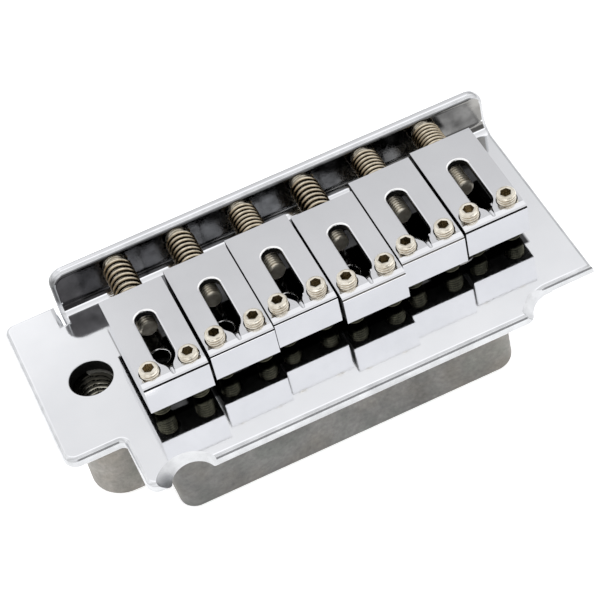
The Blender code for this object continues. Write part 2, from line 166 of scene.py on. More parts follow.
# ---------------------------------------------------------------- materials
class Look:
    """A node material under construction."""

    def __init__(self, name, metallic, roughness, color=(0.8, 0.8, 0.8)):
        self.material = bpy.data.materials.new(name)
        self.material.use_nodes = True
        self.tree = self.material.node_tree
        self.shader = self.tree.nodes["Principled BSDF"]
        self.shader.inputs["Metallic"].default_value = metallic
        self.shader.inputs["Roughness"].default_value = roughness
        self.shader.inputs["Base Color"].default_value = (*color, 1.0)
        self.coordinates = self.tree.nodes.new("ShaderNodeTexCoord")

    def noise(self, scale, detail=4.0, rough=0.55, stretch=None):
        source = self.coordinates.outputs["Object"]
        if stretch:
            mapping = self.tree.nodes.new("ShaderNodeMapping")
            mapping.inputs["Scale"].default_value = stretch
            self.tree.links.new(source, mapping.inputs["Vector"])
            source = mapping.outputs["Vector"]
        node = self.tree.nodes.new("ShaderNodeTexNoise")
        node.inputs["Scale"].default_value = scale
        node.inputs["Detail"].default_value = detail
        node.inputs["Roughness"].default_value = rough
        self.tree.links.new(source, node.inputs["Vector"])
        return node.outputs["Fac"]

    def attribute(self, name):
        node = self.tree.nodes.new("ShaderNodeAttribute")
        node.attribute_name = name
        return node.outputs["Fac"]

    def ramp(self, source, stops):
        node = self.tree.nodes.new("ShaderNodeValToRGB")
        points = node.color_ramp.elements
        while len(points) < len(stops):
            points.new(0.5)
        for point, (at, color) in zip(points, stops):
            point.position = at
            point.color = (*color, 1.0) if not isinstance(color, float) else (color, color, color, 1.0)
        self.tree.links.new(source, node.inputs["Fac"])
        return node.outputs["Color"]

    def mix(self, fac, one, two, mode="MIX"):
        node = self.tree.nodes.new("ShaderNodeMix")
        node.data_type = "RGBA"
        node.blend_type = mode
        if isinstance(fac, float):
            node.inputs[0].default_value = fac
        else:
            self.tree.links.new(fac, node.inputs[0])
        self.tree.links.new(one, node.inputs[6])
        self.tree.links.new(two, node.inputs[7])
        return node.outputs[2]

    def axis(self, index):
        if not hasattr(self, "parts"):
            split = self.tree.nodes.new("ShaderNodeSeparateXYZ")
            self.tree.links.new(self.coordinates.outputs["Object"], split.inputs[0])
            self.parts = split.outputs
        return self.parts[index]

    def span(self, source, start, end, low, high):
        """Linear from low at start to high at end, held beyond them."""
        node = self.tree.nodes.new("ShaderNodeMapRange")
        node.clamp = True
        for i, value in enumerate((start, end, low, high), 1):
            node.inputs[i].default_value = value
        self.tree.links.new(source, node.inputs[0])
        return node.outputs[0]

    def calc(self, operation, a, b):
        node = self.tree.nodes.new("ShaderNodeMath")
        node.operation = operation
        for i, value in enumerate((a, b)):
            if isinstance(value, float):
                node.inputs[i].default_value = value
            else:
                self.tree.links.new(value, node.inputs[i])
        return node.outputs[0]

    def facing(self, index):
        """The surface normal's share along an axis."""
        split = self.tree.nodes.new("ShaderNodeSeparateXYZ")
        self.tree.links.new(self.coordinates.outputs["Normal"], split.inputs[0])
        return split.outputs[index]

    def painted_shade_under_saddles(self, soft, dark):
        """A grey for the plate's top: painted shade, dark and mottled where the saddles cover it, each from its own
        front line back.
        """
        x, y = self.axis(0), self.axis(1)
        left, right = (SADDLES[0][0] - SADDLE_W / 2) * MM, (SADDLES[-1][0] + SADDLE_W / 2) * MM
        along = self.span(x, left, right, 0.0, 1.0)
        node = self.tree.nodes.new("ShaderNodeValToRGB")
        node.color_ramp.interpolation = "CONSTANT"
        points = node.color_ramp.elements
        while len(points) < len(SADDLES):
            points.new(0.5)
        for i, (point, (cx, yf, top)) in enumerate(zip(points, SADDLES)):
            edge = left if i == 0 else ((cx + SADDLES[i - 1][0]) / 2) * MM
            point.position = (edge - left) / (right - left)
            start = (yf + (top - SADDLE_H) * 0.91 - 2.1) / 20.0
            point.color = (start, start, start, 1.0)
        self.tree.links.new(along, node.inputs["Fac"])
        start = self.calc("SUBTRACT", self.calc("MULTIPLY", node.outputs["Color"], 20.0 * MM), ORIGIN_Y * MM)
        shade_mask = self.span(self.calc("SUBTRACT", y, start), -soft, soft, 0.0, 1.0)
        shade_mask = self.calc("MULTIPLY", shade_mask, self.span(self.calc("SUBTRACT", y, self.calc("MULTIPLY", x, 0.0587)), 0.0279, 0.0290, 1.0, 0.0))
        shade_mask = self.calc("MULTIPLY", shade_mask, self.calc("MULTIPLY", self.span(x, left, left + 2 * soft, 0.0, 1.0), self.span(x, right - 2 * soft, right, 1.0, 0.0)))
        shade_mottle = self.ramp(self.noise(330.0, 3.0), [(0.35, dark), (0.68, dark * 2.6)])
        white = self.ramp(shade_mask, [(0.0, 1.0), (1.0, 0.0)])
        return self.mix(1.0, white, self.mix(1.0, shade_mottle, self.ramp(shade_mask, [(0.0, 0.0), (1.0, 1.0)]), "MULTIPLY"), "ADD")

    def to(self, source, socket):
        self.tree.links.new(source, self.shader.inputs[socket])

    def bump(self, source, strength, distance, under=None):
        node = self.tree.nodes.new("ShaderNodeBump")
        node.inputs["Strength"].default_value = strength
        node.inputs["Distance"].default_value = distance
        self.tree.links.new(source, node.inputs["Height"])
        if under is not None:
            self.tree.links.new(under, node.inputs["Normal"])
        self.tree.links.new(node.outputs["Normal"], self.shader.inputs["Normal"])
        return node.outputs["Normal"]


def chrome(name, low, high, rough_low, rough_high, wave, grain, with_saddle_shade=False):
    look = Look(name, 1.0, rough_low)
    base = look.ramp(look.noise(90.0, 3.0), [(0.35, low), (0.65, high)])
    # painted shade on the plate's top under the saddles
    if with_saddle_shade:
        base = look.mix(1.0, base, look.painted_shade_under_saddles(0.0002, 0.035), "MULTIPLY")
    look.to(base, "Base Color")
    look.to(look.ramp(look.noise(900.0, 6.0, 0.6), [(0.3, rough_low), (0.7, rough_high)]), "Roughness")
    under = look.bump(look.noise(160.0, 1.0), wave, 0.001)
    look.bump(look.noise(5200.0, 3.0, 0.6), grain, 0.00002, under)
    return look.material


# the plate's chrome, with painted shade under the saddles
plate_look = chrome("chrome_plate", (0.845, 0.855, 0.875), (0.885, 0.893, 0.91), 0.045, 0.085, 0.004, 0.10, True)
saddle_look = chrome("saddle_chrome", (0.735, 0.74, 0.758), (0.775, 0.78, 0.798), 0.09, 0.14, 0.003, 0.22)


def plate_edges():
    """The plate's rounded and bevelled edges: softer plating, with painted shade on steep and right-facing faces and on
    left-facing faces at the lip's arm end.
    """
    look = Look("chrome_edges", 1.0, 0.2)
    base = look.ramp(look.noise(300.0, 4.0), [(0.3, (0.69, 0.70, 0.715)), (0.7, (0.78, 0.79, 0.80))])
    # painted shade on left-facing edges above 1.2 mm at the lip's arm end
    arm_end_shade = look.calc("MULTIPLY", look.span(look.facing(0), -0.12, -0.55, 0.0, 1.0), look.span(look.axis(2), 0.0012, 0.0024, 0.0, 1.0))
    arm_end_shade = look.calc("MULTIPLY", arm_end_shade, look.span(look.facing(2), 0.85, 0.45, 0.0, 1.0))
    # painted shade: steep faces and right-facing faces darker
    steep_shade = look.ramp(look.span(look.facing(2), 0.86, 0.5, 0.0, 1.0), [(0.0, 1.0), (1.0, 0.8)])
    right = look.ramp(look.span(look.facing(0), 0.25, 0.65, 0.0, 1.0), [(0.0, 1.0), (1.0, 0.86)])
    base = look.mix(1.0, look.mix(1.0, base, steep_shade, "MULTIPLY"), right, "MULTIPLY")
    streaks = look.ramp(look.noise(240.0, 5.0, 0.6), [(0.36, 0.86), (0.6, 1.05)])
    base = look.mix(1.0, base, streaks, "MULTIPLY")
    look.to(look.mix(1.0, base, look.ramp(arm_end_shade, [(0.0, 1.0), (1.0, 0.24)]), "MULTIPLY"), "Base Color")
    look.to(look.ramp(look.noise(700.0, 4.0), [(0.3, 0.16), (0.7, 0.24)]), "Roughness")
    look.bump(look.noise(350.0, 3.0), 0.05, 0.0003)
    return look.material


edge_look = plate_edges()
# a darker copy of the saddle chrome: painted shade on the first saddle's left side
shaded_side_look = chrome("saddle_side_shaded", (0.40, 0.41, 0.44), (0.47, 0.48, 0.505), 0.1, 0.16, 0.003, 0.2)
# a brighter copy of the chrome: painted highlight on the windows' rear rims and the string holes' rims
rim_highlight_look = chrome("window_rim_highlight", (0.93, 0.93, 0.93), (0.96, 0.96, 0.955), 0.14, 0.2, 0.003, 0.1)


def shaded_lip_inside():
    """The inner face of the lip: the same plating, dull and darkened with painted shade, darkest at the arm's end."""
    look = Look("shaded_lip_inside", 1.0, 0.12)
    along = look.span(look.axis(0), -0.037, 0.037, 0.0, 1.0)
    # painted shade along the lip, darkest at the arm's end
    shade_along = look.ramp(along, [(0.0, (0.050, 0.048, 0.050)), (0.22, (0.135, 0.135, 0.138)), (0.5, (0.31, 0.315, 0.318)), (0.8, (0.23, 0.228, 0.22)), (1.0, (0.255, 0.25, 0.24))])
    patches = look.ramp(look.noise(230.0, 3.0, 0.5), [(0.36, 0.55), (0.64, 1.3)])
    look.to(look.mix(1.0, shade_along, patches, "MULTIPLY"), "Base Color")
    look.to(look.ramp(look.noise(700.0, 4.0), [(0.3, 0.10), (0.7, 0.2)]), "Roughness")
    look.bump(look.noise(400.0, 3.0), 0.05, 0.0003)
    return look.material


lip_shade_look = shaded_lip_inside()


def dark_metal(name, low, high, roughness):
    look = Look(name, 1.0, roughness)
    look.to(look.ramp(look.noise(420.0, 5.0), [(0.3, low), (0.7, high)]), "Base Color")
    look.to(look.ramp(look.noise(1500.0, 4.0), [(0.3, roughness - 0.08), (0.7, roughness + 0.1)]), "Roughness")
    look.bump(look.noise(2600.0, 4.0), 0.25, 0.00004)
    return look.material


def shaded(name, low, high, roughness):
    """An unpolished, near-black surface with hardly any sheen: painted shade for insides and hollows."""
    look = Look(name, 0.0, roughness)
    look.shader.inputs["Specular IOR Level"].default_value = 0.12
    look.to(look.ramp(look.noise(520.0, 5.0), [(0.3, low), (0.7, high)]), "Base Color")
    look.to(look.ramp(look.noise(1500.0, 4.0), [(0.3, roughness - 0.08), (0.7, roughness + 0.1)]), "Roughness")
    look.bump(look.noise(2600.0, 4.0), 0.25, 0.00004)
    return look.material


def bore():
    """The arm hole's thread: dark with painted shade, with painted highlights on the crests where it runs deeper."""
    look = Look("bore_metal", 0.9, 0.16)
    dx = look.calc("SUBTRACT", look.axis(0), ARM_C[0] * MM)
    dy = look.calc("SUBTRACT", look.axis(1), (ARM_C[1] - ORIGIN_Y) * MM)
    radius = look.calc("POWER", look.calc("ADD", look.calc("MULTIPLY", dx, dx), look.calc("MULTIPLY", dy, dy)), 0.5)
    crest_highlight = look.span(radius, (ARM_THREAD_R - ARM_THREAD_DEPTH * 0.35) * MM, (ARM_THREAD_R - ARM_THREAD_DEPTH) * MM, 0.0, 1.0)
    crest_highlight = look.calc("MULTIPLY", crest_highlight, look.span(look.axis(2), -0.0030, -0.0055, 0.12, 1.0))
    # painted shade, near black, and painted highlights on the crests
    metal = look.ramp(crest_highlight, [(0.0, (0.020, 0.019, 0.015)), (0.5, (0.07, 0.065, 0.05)), (1.0, (1.0, 0.96, 0.82))])
    worn = look.ramp(look.noise(900.0, 5.0), [(0.3, 0.7), (0.7, 1.1)])
    look.to(look.mix(1.0, metal, worn, "MULTIPLY"), "Base Color")
    look.to(look.ramp(look.noise(1500.0, 4.0), [(0.3, 0.12), (0.7, 0.22)]), "Roughness")
    return look.material


inside_shade_look = shaded("saddle_inside_shade", (0.004, 0.004, 0.004), (0.014, 0.014, 0.013), 0.5)
# the hex sockets' walls: painted shade in the recess, mottled with painted glints
socket_shade_look = dark_metal("screw_socket", (0.085, 0.072, 0.042), (0.62, 0.54, 0.40), 0.26)
bore_look = bore()


def plated_steel(name, bright, dull, groove, rough_low, rough_high, metallic=1.0):
    look = Look(name, metallic, rough_low)
    base = look.ramp(look.noise(700.0, 5.0, 0.6), [(0.32, dull), (0.62, bright)])
    # painted shade in the thread grooves and at the bottom of recesses, where the groove attribute is high
    groove_shade = look.ramp(look.noise(2400.0, 5.0, 0.65), [(0.3, groove), (0.75, tuple(min(1.0, c * 2.2) for c in groove))])
    deep = look.ramp(look.attribute("groove"), [(0.25, 0.0), (0.95, 1.0)])
    look.to(look.mix(deep, base, groove_shade), "Base Color")
    look.to(look.ramp(look.noise(1800.0, 5.0, 0.6), [(0.3, rough_low), (0.7, rough_high)]), "Roughness")
    look.bump(look.noise(4200.0, 4.0), 0.18, 0.00003)
    return look.material


nickel_look = plated_steel("nickel", (0.85, 0.81, 0.715), (0.62, 0.565, 0.465), (0.20, 0.155, 0.10), 0.20, 0.34)
shade_look = plated_steel("shaded_thread", (0.115, 0.112, 0.078), (0.060, 0.060, 0.043), (0.010, 0.010, 0.008), 0.34, 0.5)
# painted dark reflection along the saddles' rounded front edge, softer for saddles 4 and 5
soft_brow_reflection_look = dark_metal("soft_brow_line", (0.13, 0.12, 0.11), (0.20, 0.19, 0.175), 0.35)
brow_reflection_look = dark_metal("brow_line", (0.012, 0.012, 0.013), (0.03, 0.03, 0.03), 0.3)
thread_look = plated_steel("thread", (0.92, 0.87, 0.75), (0.62, 0.56, 0.45), (0.30, 0.265, 0.195), 0.30, 0.46, 0.75)


def wire():
    """Nickel-plated spring wire with painted shading: a painted highlight along the crest of each coil, brown and dark
    towards its flanks, darker where the surface faces sideways.
    """
    look = Look("spring_wire", 1.0, 0.26)
    round_shade = look.ramp(look.attribute("groove"), [(0.0, (0.90, 0.82, 0.67)), (0.10, (0.60, 0.52, 0.385)), (0.34, (0.235, 0.185, 0.12)), (0.62, (0.060, 0.044, 0.024)), (1.0, (0.010, 0.008, 0.005))])
    worn = look.ramp(look.noise(1100.0, 5.0, 0.6), [(0.3, 0.66), (0.66, 1.12)])
    flank = look.span(look.facing(0), -1.0, 1.0, 0.0, 1.0)
    # painted shade on the wire where it faces sideways
    turn = look.ramp(flank, [(0.0, (0.20, 0.175, 0.14)), (0.16, (0.34, 0.30, 0.25)), (0.36, 0.95), (0.62, 1.08), (0.80, 0.85), (0.93, (0.36, 0.32, 0.27))])
    look.to(look.mix(1.0, look.mix(1.0, round_shade, worn, "MULTIPLY"), turn, "MULTIPLY"), "Base Color")
    look.to(look.ramp(look.noise(1800.0, 5.0, 0.6), [(0.3, 0.2), (0.7, 0.34)]), "Roughness")
    look.bump(look.noise(4200.0, 4.0), 0.15, 0.00003)
    return look.material


spring_look = wire()
steel_look = plated_steel("screw_steel", (0.62, 0.62, 0.61), (0.44, 0.44, 0.43), (0.12, 0.12, 0.12), 0.24, 0.38)


def cast():
    look = Look("cast_block", 0.55, 0.5)
    broad = look.ramp(look.noise(95.0, 7.0, 0.62), [(0.30, (0.108, 0.108, 0.102)), (0.50, (0.152, 0.150, 0.143)), (0.72, (0.225, 0.222, 0.212))])
    tint = look.ramp(look.noise(150.0, 3.0, 0.5), [(0.35, (0.93, 0.97, 0.95)), (0.5, (1.0, 1.0, 1.0)), (0.70, (1.0, 0.965, 0.91))])
    fine = look.ramp(look.noise(1500.0, 6.0, 0.7), [(0.30, 0.78), (0.70, 1.16)])
    # painted light: brighter towards both ends of the block
    lit_ends = look.ramp(look.span(look.axis(0), -0.045, 0.030, 0.0, 1.0), [(0.0, (1.85, 1.78, 1.70)), (0.14, (1.75, 1.68, 1.60)), (0.19, 1.0), (0.70, 1.0), (0.93, (1.62, 1.57, 1.5)), (1.0, (1.7, 1.64, 1.56))])
    metal = look.mix(1.0, look.mix(1.0, broad, tint, "MULTIPLY"), fine, "MULTIPLY")
    look.to(look.mix(1.0, metal, lit_ends, "MULTIPLY"), "Base Color")
    look.to(look.ramp(look.noise(260.0, 6.0, 0.6), [(0.3, 0.40), (0.7, 0.62)]), "Roughness")
    under = look.bump(look.noise(420.0, 5.0, 0.6), 0.30, 0.00025)
    look.bump(look.noise(3600.0, 5.0, 0.65), 0.45, 0.00005, under)
    return look.material


cast_look = cast()


def floor_material():
    look = Look("floor", 0.0, 0.9)
    look.to(look.ramp(look.noise(14.0, 3.0), [(0.3, 0.955), (0.7, 0.975)]), "Base Color")
    look.shader.inputs["Specular IOR Level"].default_value = 0.0
    look.shader.inputs["Emission Color"].default_value = (1.0, 1.0, 1.0, 1.0)
    look.shader.inputs["Emission Strength"].default_value = 0.6
    return look.material


# ---------------------------------------------------------------- shapes
def arc(center, radius, start, end, steps):
    found = []
    for i in range(steps + 1):
        angle = math.radians(start + (end - start) * i / steps)
        found.append((center[0] + radius * math.cos(angle), center[1] + radius * math.sin(angle)))
    return found


def circle(center, radius, steps, turn=0.0):
    return arc(center, radius, turn, turn + 360.0, steps)[:-1]


def evaluated(made):
    scene.collection.objects.link(made)
    graph = bpy.context.evaluated_depsgraph_get()
    mesh = bpy.data.meshes.new_from_object(made.evaluated_get(graph))
    bm = bmesh.new()
    bm.from_mesh(mesh)
    bpy.data.objects.remove(made)
    bpy.data.meshes.remove(mesh)
    return bm


def prism(outlines, z0, z1, edge=0.0, rounds=0):
    curve = bpy.data.curves.new("outline", "CURVE")
    curve.dimensions = "2D"
    curve.fill_mode = "BOTH"
    curve.extrude = (z1 - z0) / 2 - edge
    curve.bevel_depth = edge
    curve.bevel_resolution = rounds
    curve.offset = -edge
    for outline in outlines:
        spline = curve.splines.new("POLY")
        spline.points.add(len(outline) - 1)
        for point, (x, y) in zip(spline.points, outline):
            point.co = (x, y, 0.0, 1.0)
        spline.use_cyclic_u = True
    bm = evaluated(bpy.data.objects.new("outline", curve))
    bmesh.ops.remove_doubles(bm, verts=bm.verts, dist=0.0005)
    if len(outlines) == 1:
        bmesh.ops.dissolve_limit(bm, angle_limit=0.001, verts=bm.verts, edges=bm.edges)
    bmesh.ops.translate(bm, vec=(0.0, 0.0, (z0 + z1) / 2), verts=bm.verts)
    return bm


def prism_y(outline, y0, y1):
    bm = prism([outline], -y1, -y0)
    bmesh.ops.rotate(bm, verts=bm.verts, matrix=Matrix.Rotation(math.radians(90), 3, "X"))
    return bm


def prism_x(outline, x0, x1):
    """A prism along x over an outline of (y, z) points."""
    bm = prism([outline], x0, x1)
    for vert in bm.verts:
        x, y, z = vert.co
        vert.co = (z, x, y)
    return bm


def box(x0, x1, y0, y1, z0, z1):
    bm = bmesh.new()
    bmesh.ops.create_cube(bm, size=1.0)
    bmesh.ops.scale(bm, vec=(x1 - x0, y1 - y0, z1 - z0), verts=bm.verts)
    bmesh.ops.translate(bm, vec=((x0 + x1) / 2, (y0 + y1) / 2, (z0 + z1) / 2), verts=bm.verts)
    return bm


def cylinder(x, y, r, z0, z1, steps, top_r=None):
    bm = bmesh.new()
    top_r = r if top_r is None else top_r
    bmesh.ops.create_cone(bm, cap_ends=True, segments=steps, radius1=r, radius2=top_r, depth=z1 - z0)
    bmesh.ops.translate(bm, vec=(x, y, (z0 + z1) / 2), verts=bm.verts)
    return bm


def loft(lower, upper):
    bm = bmesh.new()
    low = [bm.verts.new(p) for p in lower]
    high = [bm.verts.new(p) for p in upper]
    bm.faces.new(low[::-1])
    bm.faces.new(high)
    for i in range(len(low)):
        j = (i + 1) % len(low)
        bm.faces.new((low[i], low[j], high[j], high[i]))
    return bm


def hull(points):
    bm = bmesh.new()
    for p in points:
        bm.verts.new(p)
    bmesh.ops.convex_hull(bm, input=bm.verts)
    return bm


def turned(profile, steps, x, y):
    """A turned solid from (radius, height) points, lower end first, round the vertical line through x, y."""
    rings = [[(r * c, r * s, h) for c, s in unit_circle(steps)] for r, h in profile if r > 0.0]
    bm = stacked(rings, tip_low=profile[0][1] if profile[0][0] == 0.0 else None, tip_high=profile[-1][1] if profile[-1][0] == 0.0 else None)
    bmesh.ops.translate(bm, vec=(x, y, 0.0), verts=bm.verts)
    return bm


def unit_circle(steps):
    return [(math.cos(2 * math.pi * k / steps), math.sin(2 * math.pi * k / steps)) for k in range(steps)]


def stacked(rings, grooves=None, tip_low=None, tip_high=None):
    """A closed skin over rings of equally many points. Each ring's points may carry a groove depth from 0 to 1."""
    bm = bmesh.new()
    layer = bm.verts.layers.float.new("groove")
    made = []
    for i, ring in enumerate(rings):
        row = []
        for k, point in enumerate(ring):
            vert = bm.verts.new(point)
            vert[layer] = grooves[i][k] if grooves else 0.0
            row.append(vert)
        made.append(row)
    count = len(rings[0])
    for one, two in zip(made, made[1:]):
        for k in range(count):
            j = (k + 1) % count
            bm.faces.new((one[k], one[j], two[j], two[k]))
    for row, tip, flip in ((made[0], tip_low, True), (made[-1], tip_high, False)):
        if tip is None:
            bm.faces.new(row[::-1] if flip else row)
            continue
        point = bm.verts.new((0.0, 0.0, tip))
        for k in range(count):
            j = (k + 1) % count
            bm.faces.new((point, row[j], row[k]) if flip else (point, row[k], row[j]))
    return bm


def joined(pieces):
    bm = bmesh.new()
    for piece in pieces:
        mesh = bpy.data.meshes.new("piece")
        piece.to_mesh(mesh)
        piece.free()
        bm.from_mesh(mesh)
        bpy.data.meshes.remove(mesh)
    return bm


def loose_object(bm, name="tool"):
    bmesh.ops.recalc_face_normals(bm, faces=bm.faces)
    mesh = bpy.data.meshes.new(name)
    bm.to_mesh(mesh)
    bm.free()
    return bpy.data.objects.new(name, mesh)


def carved(bm, cutters):
    """The bmesh with each cutter taken from it."""
    body = loose_object(bm)
    scene.collection.objects.link(body)
    tools = []
    for cutter in cutters:
        tool = loose_object(cutter)
        scene.collection.objects.link(tool)
        tools.append(tool)
        change = body.modifiers.new("cut", "BOOLEAN")
        change.operation = "DIFFERENCE"
        change.solver = "EXACT"
        change.object = tool
    bpy.context.view_layer.update()
    graph = bpy.context.evaluated_depsgraph_get()
    mesh = bpy.data.meshes.new_from_object(body.evaluated_get(graph))
    out = bmesh.new()
    out.from_mesh(mesh)
    bpy.data.meshes.remove(mesh)
    for old in [body] + tools:
        data = old.data
        bpy.data.objects.remove(old)
        bpy.data.meshes.remove(data)
    return out


def softened(bm, width, segments, angle):
    """The bmesh with its sharp edges rounded by the Bevel modifier."""
    made = loose_object(bm)
    change = made.modifiers.new("soft", "BEVEL")
    change.width = width
    change.segments = segments
    change.limit_method = "ANGLE"
    change.angle_limit = math.radians(angle)
    change.miter_outer = "MITER_ARC"
    change.use_clamp_overlap = True
    return evaluated(made)


def placed(bm, name, looks, sharp=35.0, recalc=True):
    if recalc:
        bmesh.ops.recalc_face_normals(bm, faces=bm.faces)
    bmesh.ops.translate(bm, vec=(0.0, -ORIGIN_Y, 0.0), verts=bm.verts)
    bmesh.ops.scale(bm, vec=(MM, MM, MM), verts=bm.verts)
    mesh = bpy.data.meshes.new(name)
    bm.to_mesh(mesh)
    bm.free()
    for look in looks:
        mesh.materials.append(look)
    mesh.polygons.foreach_set("use_smooth", [True] * len(mesh.polygons))
    mesh.set_sharp_from_angle(angle=math.radians(sharp))
    made = bpy.data.objects.new(name, mesh)
    even = made.modifiers.new("even", "WEIGHTED_NORMAL")
    even.mode = "FACE_AREA"
    even.weight = 100
    even.keep_sharp = True
    extra.objects.link(made)
    return made


def stands_for(piece, node, body):
    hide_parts(node)
    if body is not None:
        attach(piece, body)
    return piece


def thread_ring(radius, depth, pitch, height, steps, fade=1.0, hand=1.0):
    """One ring of a helical thread at a height, with its groove depths."""
    ring, groove = [], []
    for k in range(steps):
        phase = (height / pitch - hand * k / steps) % 1.0
        wave = abs(2.0 * phase - 1.0)
        deep = min(max((wave - 0.14) / 0.66, 0.0), 1.0) * fade
        r = radius - depth * deep
        ring.append((r * math.cos(2 * math.pi * k / steps), r * math.sin(2 * math.pi * k / steps), height))
        groove.append(deep)
    return ring, groove


def hexagon(radius, height, steps):
    found = []
    side = steps // 6
    for k in range(steps):
        a, b = math.radians(60 * (k // side)), math.radians(60 * (k // side + 1))
        t = (k % side) / side
        x = radius * (math.cos(a) * (1 - t) + math.cos(b) * t)
        y = radius * (math.sin(a) * (1 - t) + math.sin(b) * t)
        found.append((x, y, height))
    return found


def cross(reach, half, height, steps):
    """The outline of a cross recess as a ring of 24 points."""
    quarter = [(reach, -half), (reach, 0.0), (reach, half), ((reach + half) / 2, half), (half, half), (half, (reach + half) / 2)]
    found = []
    for q in range(4):
        c, s = math.cos(math.pi / 2 * q), math.sin(math.pi / 2 * q)
        found += [(a * c - b * s, a * s + b * c, height) for a, b in quarter]
    # point 0 lies just below the x axis, as the ring of a circle turned back by the same angle would
    return found


# ---------------------------------------------------------------- base plate
FLAT_BEND = (BEND_R + PLATE_T / 2) * math.pi / 2
FLAT_TOP = BEND_Y + FLAT_BEND + LIP_TOP - BEND_R
FLAT_HOLE = BEND_Y + FLAT_BEND + SCREW_Z - BEND_R

horn_x = HOOK_C[0] - math.sqrt((HOOK_R + HORN_R) ** 2 - (HORN_R - HOOK_C[1]) ** 2)
horn_end = math.degrees(math.atan2(HOOK_C[1] - HORN_R, HOOK_C[0] - horn_x))

outline = arc((X_LEFT + TIP_R, TIP_Y + TIP_R), TIP_R, 180, 270, 12)
outline += [(NOTCH_C[0] - NOTCH_R, TIP_Y), (NOTCH_C[0] + NOTCH_R, 0.0)]
outline += arc((horn_x, HORN_R), HORN_R, -90, horn_end, 12)
outline += arc(HOOK_C, HOOK_R, 180 + horn_end, 90, 18)[1:]
outline += [(X_RIGHT, BLADE_Y)]
outline += arc((X_RIGHT - LIP_CORNER, FLAT_TOP - LIP_CORNER), LIP_CORNER, 0, 90, 14)
outline += arc((LIP_LEFT + LIP_CORNER, FLAT_TOP - LIP_CORNER), LIP_CORNER, 90, 180, 14)
outline += [(LIP_LEFT, BEND_Y - 0.3), (LIP_LEFT - SLIT, BEND_Y - 0.3), (LIP_LEFT - SLIT, WING_Y1)]
outline += arc((WING_X + 1.8, WING_Y1 - 1.8), 1.8, 90, 180, 10)
outline += arc((WING_X + 2.2, WING_Y0 + 2.2), 2.2, 180, 270, 12)
outline += arc((X_LEFT - 0.9, WING_Y0 - 0.9), 0.9, 90, 0, 8)

plate = prism([outline], -PLATE_T, 0.0, PLATE_EDGE, 5)
for i in range(13):
    geometry = plate.verts[:] + plate.edges[:] + plate.faces[:]
    bmesh.ops.bisect_plane(plate, geom=geometry, dist=0.0005, plane_co=(0.0, BEND_Y + FLAT_BEND * i / 12, 0.0), plane_no=(0.0, 1.0, 0.0))
for vert in plate.verts:
    x, y, z = vert.co
    if y <= BEND_Y or x < LIP_LEFT - SLIT / 2:
        continue
    angle = min((y - BEND_Y) / FLAT_BEND, 1.0) * math.pi / 2
    straight = max(y - BEND_Y - FLAT_BEND, 0.0)
    r = BEND_R - z
    vert.co = (x, BEND_Y + r * math.sin(angle), BEND_R - r * math.cos(angle) + straight)

reach = 0.8
slope = (NOTCH_TOP_R - NOTCH_R) / PLATE_T
cone = cylinder(0.0, 0.0, NOTCH_R - slope * reach, -PLATE_T - reach, reach, 72, NOTCH_TOP_R + slope * reach)
lean = [(top - low) / PLATE_T for top, low in zip(NOTCH_TOP_C, NOTCH_C)]
for vert in cone.verts:
    rise = vert.co.z + PLATE_T
    vert.co.x += NOTCH_C[0] + lean[0] * rise
    vert.co.y += NOTCH_C[1] + lean[1] * rise
cuts = [cone]

grow = 0.35
hook_low = [(34.0, BLADE_Y - 0.02), (29.3, BLADE_Y - 0.02)] + arc(HOOK_C, HOOK_R, 105, 165, 4) + [(25.3, 0.3), (23.9, -0.5), (23.5, -3.0), (34.0, -3.0)]
hook_top = [(34.0, BLADE_Y - 0.02), (29.3, BLADE_Y - 0.02), (28.4, 3.75), (27.4, 4.05), (26.6, 4.0), (25.7, 3.4), (24.9, 2.5), (23.9, 1.3), (23.6, -0.5), (23.2, -3.0), (34.0, -3.0)]
lower = [(x, y, -PLATE_T) for x, y in hook_low]
upper = [(x, y, 0.0) for x, y in hook_top]
below = [tuple(a + (a - b) * grow for a, b in zip(p, q)) for p, q in zip(lower, upper)]
above = [tuple(b + (b - a) * grow for a, b in zip(p, q)) for p, q in zip(lower, upper)]
cuts.append(loft(below, above))
cuts.append(hull([(x, y, z) for x in (29.93, 38.0) for y, z in ((BLADE_Y - 1.0, -BLADE_FACE + 0.007), (BLADE_Y + 0.009, -BLADE_FACE + 0.007), (BLADE_Y + 1.61, -3.0), (BLADE_Y - 1.0, -3.0))]))
for x in BLOCK_SCREW_X:
    r = BLOCK_SCREW_HEAD_R + FIT
    shank = BLOCK_SCREW_R + FIT
    cuts.append(turned([(shank, -3.0), (shank, -0.2 - (r - shank)), (r, -0.2), (r, 1.0)], 40, x, BLOCK_SCREW_Y))


def rimmed(radius, x, y, steps):
    """A cutter for a round hole through the plate, its rims rounded over at both faces."""
    e = HOLE_EDGE
    over = [(radius + e * (1 - math.cos(math.radians(a))), -e * (1 - math.sin(math.radians(a)))) for a in (0, 30, 60, 90)]
    profile = [(radius + e, -PLATE_T - 1.0)] + [(r, -PLATE_T - z) for r, z in reversed(over)] + over + [(radius + e, 1.0)]
    return turned(profile, steps, x, y)


